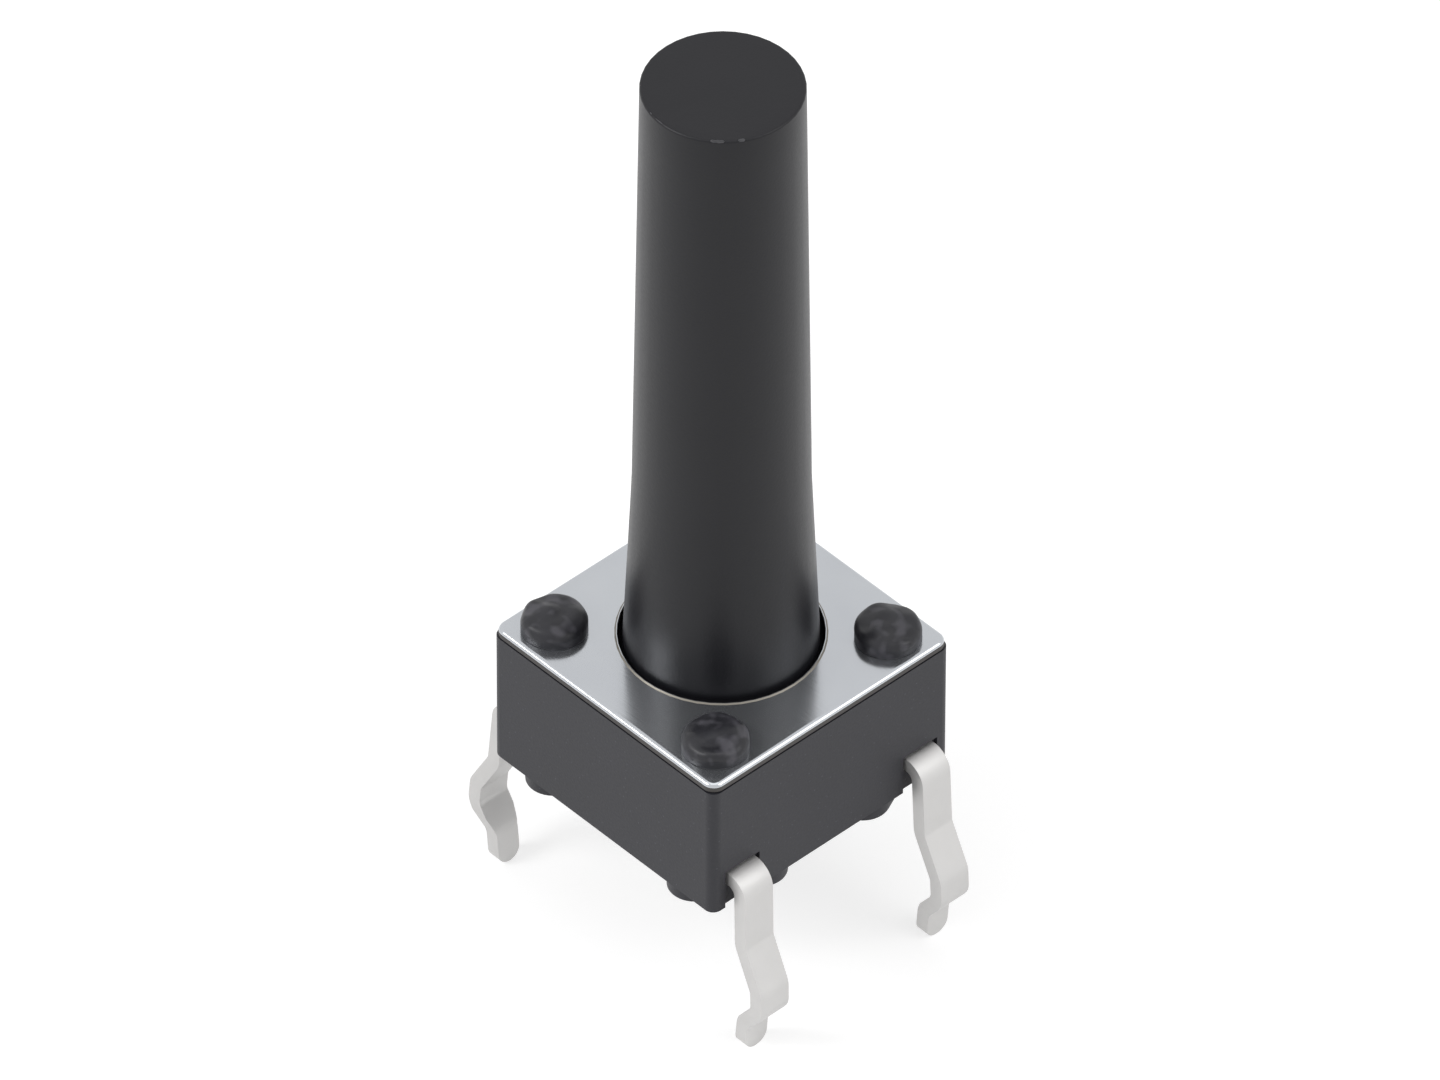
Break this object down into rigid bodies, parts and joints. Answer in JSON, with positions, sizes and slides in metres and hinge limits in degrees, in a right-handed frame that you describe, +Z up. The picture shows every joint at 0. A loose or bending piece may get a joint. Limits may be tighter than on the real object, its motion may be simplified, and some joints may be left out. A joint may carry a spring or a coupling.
{
  "type": "tactile push button switch",
  "caption": "Through-hole tactile push switch: square black housing, riveted metal cover, long tapered plunger and kinked snap-in legs.",
  "frame": {"origin": "on the board's surface, in the middle of the four legs", "axes": "+Z up along the plunger, away from the board; the legs leave the housing at +X and -X"},
  "size_m": [0.0081, 0.006, 0.0203],
  "materials": {
    "housing_plastic": "satin black moulded nylon",
    "plunger_plastic": "satin black moulded nylon with a fine grain",
    "cover_metal": "bright rolled sheet metal",
    "dome_metal": "spring steel",
    "tinned_metal": "matt tin plating"
  },
  "bodies": {
    "base": {"housing": "housing_plastic", "cover_plate": "cover_metal", "snap_dome": "dome_metal", "centre_contact": "tinned_metal", "side_contacts": "tinned_metal"},
    "button": {"plunger": "plunger_plastic"}
  },
  "joints": [
    {"name": "press", "type": "slide", "parent": "base", "child": "button", "axis": [0, 0, -1], "range_m": [0, 0.00025], "stiffness_N_per_m": 5000, "springref_m": -0.00005, "deforming": ["snap_dome"]}
  ]
}
